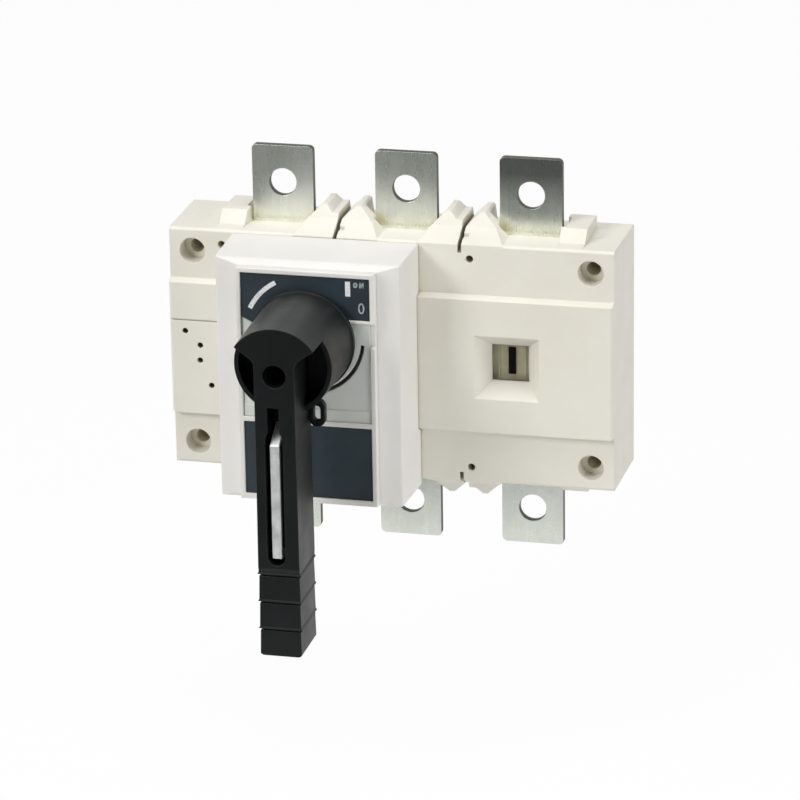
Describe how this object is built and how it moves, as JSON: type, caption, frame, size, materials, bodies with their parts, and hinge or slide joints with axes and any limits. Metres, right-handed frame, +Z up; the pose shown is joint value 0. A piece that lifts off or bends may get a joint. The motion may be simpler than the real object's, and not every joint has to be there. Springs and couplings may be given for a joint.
{
  "type": "three-pole isolator switch",
  "caption": "Load-break isolator switch: cream moulded case with terminal tabs above and below, raised mechanism housing and a black rotary handle.",
  "frame": {"origin": "centre of the case's flat back face, midway between the fixing holes", "axes": "+Z up, +X to the right as seen from the front, +Y out of the back towards the wall; the front faces -Y"},
  "size_m": [0.18, 0.12, 0.175],
  "materials": {
    "case_plastic": "warm cream moulded polyester, fine satin grain",
    "housing_plastic": "off-white moulded plastic, satin",
    "panel_plastic": "light grey moulded plastic, satin",
    "label_navy": "dark navy printed film, slight gloss",
    "handle_black": "black glass-filled plastic, soft sheen",
    "terminal_tin": "tin-plated copper, drawn finish",
    "bar_steel": "bright plated steel",
    "shaft_steel": "zinc-plated steel",
    "screw_steel": "blackened steel",
    "indicator_grey": "grey-brown moulded plastic",
    "window_clear": "clear moulded lens"
  },
  "bodies": {
    "case": {"case_base": "case_plastic", "case_cover": "case_plastic", "top_terminal_left": "terminal_tin", "top_terminal_middle": "terminal_tin", "top_terminal_right": "terminal_tin", "bottom_terminal_left": "terminal_tin", "bottom_terminal_middle": "terminal_tin", "bottom_terminal_right": "terminal_tin", "window_lens": "window_clear", "indicator_carrier": "indicator_grey", "indicator_flag": "handle_black", "mechanism_housing": "housing_plastic", "front_plate": "housing_plastic", "middle_panel": "panel_plastic", "upper_label": "label_navy", "lower_label": "label_navy", "shaft_bush": "handle_black"},
    "handle": {"drive_shaft": "shaft_steel", "handle_body": "handle_black", "handle_screw": "screw_steel", "padlock_bar": "bar_steel", "padlock_eye": "handle_black"}
  },
  "joints": [
    {"name": "handle_turn", "type": "hinge", "parent": "case", "child": "handle", "pos_m": [-0.025, -0.074, 0.019], "axis": [0, -1, 0], "range_deg": [0, 90]}
  ]
}
